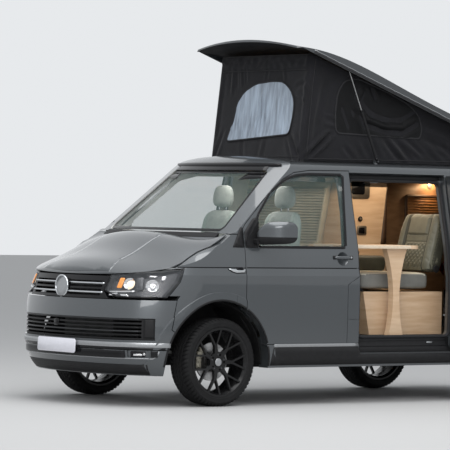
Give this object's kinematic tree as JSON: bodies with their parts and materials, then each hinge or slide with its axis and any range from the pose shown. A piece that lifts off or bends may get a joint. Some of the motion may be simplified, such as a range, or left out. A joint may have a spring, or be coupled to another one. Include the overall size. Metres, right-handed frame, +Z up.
{
  "type": "camper van with pop-up roof",
  "caption": "Short camper van with a raised front-lifting fabric pop-up roof, open sliding side door, hinged cab doors, bonnet and tailgate, steered wheels and a fitted living space.",
  "frame": {"origin": "on the ground, in the middle of the van's length and width", "axes": "+Z up, nose faces -Y, +X is the van's own left side with the sliding door"},
  "size_m": [2.3, 4.8964, 2.944],
  "materials": {
    "paint": "metallic grey paint under clear coat",
    "chassis": "satin black underbody coating",
    "black_plastic": "grained black moulding",
    "gloss_black": "gloss black moulding",
    "lamp_clear": "clear polycarbonate lens",
    "lamp_red": "red lens",
    "glass": "lightly tinted glass",
    "glass_dark": "privacy tinted glass",
    "tent": "matt black woven canvas",
    "lid": "painted glass-fibre shell",
    "rim": "satin black cast alloy",
    "tyre": "black rubber",
    "steel": "machined steel",
    "wood": "light oak plywood",
    "leather": "stitched sage leather",
    "cab_cloth": "grey woven seat cloth",
    "engine": "cast engine and gearbox"
  },
  "bodies": {
    "body": {"floor_pan": "chassis", "body_side_left": "paint", "body_side_right": "paint", "roof_panel": "paint", "wing_left": "paint", "wing_right": "paint", "front_bumper": "paint", "intake_grille": "black_plastic", "front_valance": "black_plastic", "grille": "gloss_black", "headlamps": "lamp_clear", "cowl": "black_plastic", "windscreen": "glass", "side_windows": "glass_dark", "sliding_door": "paint", "sliding_door_glass": "glass_dark", "rear_bumper": "paint", "tail_lamps": "lamp_red", "dashboard": "black_plastic", "cab_seat_left": "cab_cloth", "cab_seat_right": "cab_cloth", "bench_base": "wood", "bench_cushion": "leather", "bench_back": "leather", "kitchen_unit": "wood", "table": "wood", "engine_block": "engine", "front_subframe": "chassis", "rear_axle": "chassis", "exhaust": "steel", "fuel_tank": "chassis", "tent_fabric": "tent"},
    "left_door": {"front_door_left": "paint", "door_glass_left": "glass", "mirror_left": "black_plastic"},
    "right_door": {"front_door_right": "paint", "door_glass_right": "glass", "mirror_right": "black_plastic"},
    "tailgate": {"tailgate": "paint", "tailgate_glass": "glass_dark"},
    "bonnet": {"bonnet": "paint"},
    "roof_lid": {"roof_lid": "lid"},
    "strut_cylinders": {"roof_strut_cylinders": "black_plastic"},
    "strut_rods": {"roof_strut_rods": "steel"},
    "left_knuckle": {"knuckle_left": "steel"},
    "right_knuckle": {"knuckle_right": "steel"},
    "steering_wheel": {"steering_wheel": "black_plastic"},
    "wheel_front_left": {"rim_front_left": "rim", "tyre_front_left": "tyre"},
    "wheel_front_right": {"rim_front_right": "rim", "tyre_front_right": "tyre"},
    "wheel_rear_left": {"rim_rear_left": "rim", "tyre_rear_left": "tyre"},
    "wheel_rear_right": {"rim_rear_right": "rim", "tyre_rear_right": "tyre"}
  },
  "joints": [
    {"name": "left_door_hinge", "type": "hinge", "parent": "body", "child": "left_door", "pos_m": [0.962, -1.3, 0.9], "axis": [0, 0, -1], "range_deg": [0, 68]},
    {"name": "right_door_hinge", "type": "hinge", "parent": "body", "child": "right_door", "pos_m": [-0.962, -1.3, 0.9], "axis": [0, 0, 1], "range_deg": [0, 68]},
    {"name": "tailgate_hinge", "type": "hinge", "parent": "body", "child": "tailgate", "pos_m": [0, 2.278, 1.889], "axis": [1, 0, 0], "range_deg": [0, 88]},
    {"name": "bonnet_hinge", "type": "hinge", "parent": "body", "child": "bonnet", "pos_m": [0, -1.446, 1.352], "axis": [-1, 0, 0], "range_deg": [0, 50]},
    {"name": "roof_hinge", "type": "hinge", "parent": "body", "child": "roof_lid", "pos_m": [0, 2.036, 1.984], "axis": [1, 0, 0], "range_deg": [0, 19.3], "deforming": ["tent_fabric"]},
    {"name": "strut_pivot", "type": "hinge", "parent": "body", "child": "strut_cylinders", "pos_m": [0, 0.258, 1.966], "axis": [1, 0, 0], "range_deg": [0, 63.96]},
    {"name": "strut_slide", "type": "slide", "parent": "strut_cylinders", "child": "strut_rods", "axis": [0, -0.3964, 0.9181], "range_m": [-0.3739, 0]},
    {"name": "steer_left", "type": "hinge", "parent": "body", "child": "left_knuckle", "pos_m": [0.744, -1.526, 0.348], "axis": [0, 0, 1], "range_deg": [-36, 36]},
    {"name": "steer_right", "type": "hinge", "parent": "body", "child": "right_knuckle", "pos_m": [-0.744, -1.526, 0.348], "axis": [0, 0, 1], "range_deg": [-36, 36]},
    {"name": "steering_turn", "type": "hinge", "parent": "body", "child": "steering_wheel", "pos_m": [-0.415, -0.83, 1.165], "axis": [0, 0.8829, 0.4695], "range_deg": [-523, 523]},
    {"name": "spin_front_left", "type": "hinge", "parent": "left_knuckle", "child": "wheel_front_left", "pos_m": [0.814, -1.526, 0.348], "axis": [1, 0, 0], "continuous": true},
    {"name": "spin_front_right", "type": "hinge", "parent": "right_knuckle", "child": "wheel_front_right", "pos_m": [-0.814, -1.526, 0.348], "axis": [1, 0, 0], "continuous": true},
    {"name": "spin_rear_left", "type": "hinge", "parent": "body", "child": "wheel_rear_left", "pos_m": [0.814, 1.474, 0.348], "axis": [1, 0, 0], "continuous": true},
    {"name": "spin_rear_right", "type": "hinge", "parent": "body", "child": "wheel_rear_right", "pos_m": [-0.814, 1.474, 0.348], "axis": [1, 0, 0], "continuous": true}
  ],
  "couplings": [
    {"joint": "strut_pivot", "follows": "roof_hinge", "ratio": 3.2986},
    {"joint": "strut_slide", "follows": "roof_hinge", "m_per_rad": -1.107},
    {"joint": "steer_right", "follows": "steer_left", "ratio": 1},
    {"joint": "steering_turn", "follows": "steer_left", "ratio": 14.5}
  ]
}
